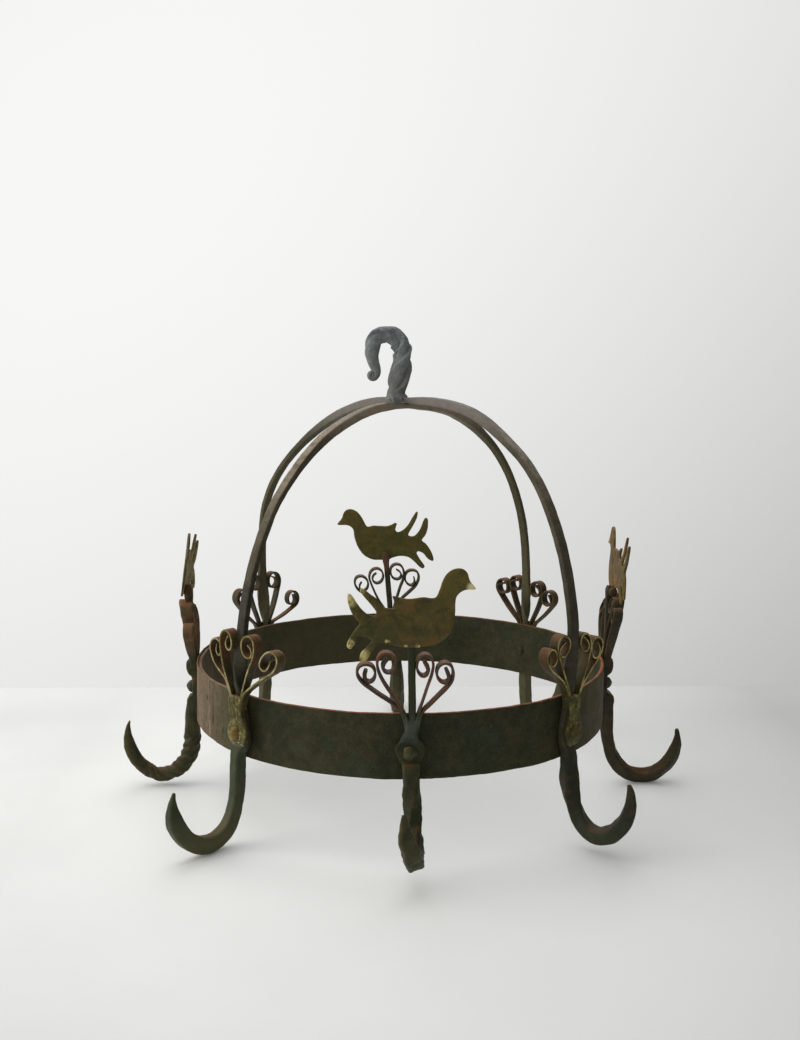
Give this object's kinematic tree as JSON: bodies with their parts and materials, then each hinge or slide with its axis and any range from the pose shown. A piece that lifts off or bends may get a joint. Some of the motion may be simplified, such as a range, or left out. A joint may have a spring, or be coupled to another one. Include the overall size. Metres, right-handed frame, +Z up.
{
  "type": "kitchen crown",
  "caption": "Forged iron hanging rack: flat hoop under crossed arches, hooks all round for pots, scrolled sprays, sheet-iron birds and a twisted hanging hook on top.",
  "frame": {"origin": "on the hoop's axis, in the plane that the hooks stand on", "axes": "+Z up along the hoop's axis to the hanging hook, -Y towards the front bird, +X towards the right bird"},
  "size_m": [0.5045, 0.5048, 0.4051],
  "materials": {
    "band_iron": "old rolled strip, dark brown with rust",
    "arch_iron": "forged bar, near black with rust-red edges",
    "hook_iron": "forged square bar, worn, dark brown",
    "spray_iron": "forged strip, olive brown, lighter on the front edges",
    "rivet_iron": "hammered rivet heads",
    "bird_sheet": "cut sheet iron, olive brown with paint remains",
    "hanger_iron": "forged twisted hook, grey green"
  },
  "bodies": {
    "root": {"hoop_band": "band_iron", "arch_lower": "arch_iron", "arch_upper": "arch_iron", "hanging_hook": "hanger_iron", "bird_hook_front": "hook_iron", "bird_front": "bird_sheet", "rivet_front": "rivet_iron", "bird_hook_right": "hook_iron", "bird_right": "bird_sheet", "rivet_right": "rivet_iron", "bird_hook_back": "hook_iron", "bird_back": "bird_sheet", "rivet_back": "rivet_iron", "bird_hook_left": "hook_iron", "bird_left": "bird_sheet", "rivet_left": "rivet_iron", "scroll_spray_front_left": "spray_iron", "rivet_front_left": "rivet_iron", "scroll_spray_front_right": "spray_iron", "rivet_front_right": "rivet_iron", "scroll_spray_back_right": "spray_iron", "rivet_back_right": "rivet_iron", "scroll_spray_back_left": "spray_iron", "rivet_back_left": "rivet_iron"}
  },
  "joints": []
}
